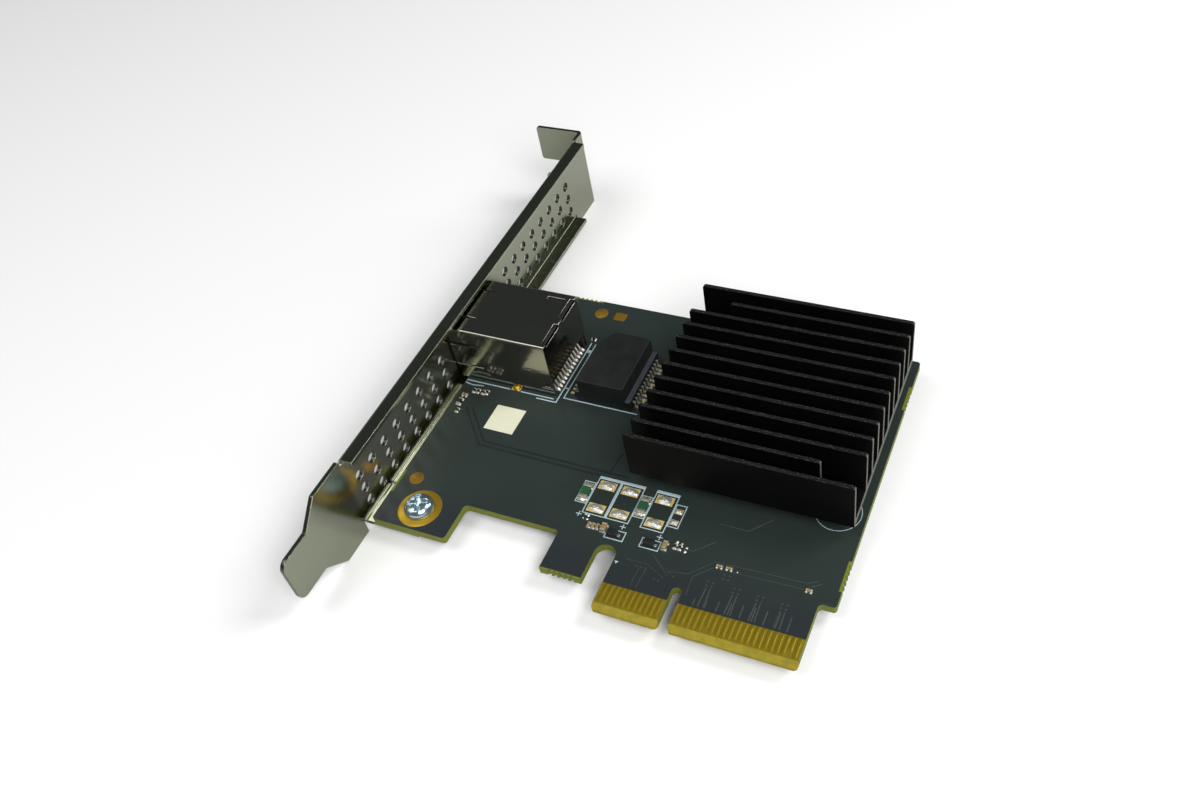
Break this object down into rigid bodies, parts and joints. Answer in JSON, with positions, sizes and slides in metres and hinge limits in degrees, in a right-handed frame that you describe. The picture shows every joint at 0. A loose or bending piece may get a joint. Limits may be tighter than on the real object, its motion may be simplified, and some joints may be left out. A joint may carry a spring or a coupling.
{
  "type": "network interface card",
  "caption": "Full-height network interface card with a bevelled card edge, a finned heat sink, one shielded port and a folded, vented slot bracket.",
  "frame": {"origin": "middle of the key notch on the line of the card edge, at the board's component face", "axes": "+X along the card away from the bracket, +Y from the card edge towards the bracket's chassis tab, +Z out of the component side"},
  "size_m": [0.0971, 0.1201, 0.0187],
  "materials": {
    "solder_mask": "dark green-black solder mask over glass-fibre laminate",
    "gold_plating": "gold over nickel",
    "solder_tin": "bright tin",
    "plated_sheet": "nickel-plated sheet steel, near mirror",
    "zinc_screw": "clear zinc",
    "port_shield": "bright tinned sheet",
    "black_moulding": "moulded black, fine grain",
    "light_window": "milky clear light guide",
    "black_anodised": "black anodised",
    "chip_package": "moulded package",
    "thermal_pad": "soft grey pad",
    "spring_steel": "bright wire",
    "ceramic": "tan fired ceramic",
    "fuse_film": "green glaze",
    "crystal_can": "plated lid",
    "label_film": "cream polyester film"
  },
  "bodies": {
    "root": {"circuit_board": "solder_mask", "edge_contacts_component_side": "gold_plating", "edge_contacts_solder_side": "gold_plating", "plated_pads": "gold_plating", "bare_solder_pads": "solder_tin", "bracket": "plated_sheet", "bracket_screws": "zinc_screw", "port_shield": "port_shield", "port_insert": "black_moulding", "port_spring_contacts": "gold_plating", "port_rear_leads": "solder_tin", "port_lights": "light_window", "transformer_body": "black_moulding", "transformer_leads": "solder_tin", "heat_sink": "black_anodised", "controller_chip": "chip_package", "thermal_pad": "thermal_pad", "push_pins": "black_moulding", "push_pin_springs": "spring_steel", "ceramic_capacitors": "ceramic", "chip_resistors": "chip_package", "solder_side_capacitors": "ceramic", "surface_fuses": "fuse_film", "small_part_ends": "solder_tin", "diodes": "chip_package", "diode_leads": "solder_tin", "label": "label_film", "flash_memory": "chip_package", "crystal": "crystal_can", "power_inductors": "chip_package", "regulator_chips": "chip_package"}
  },
  "joints": []
}
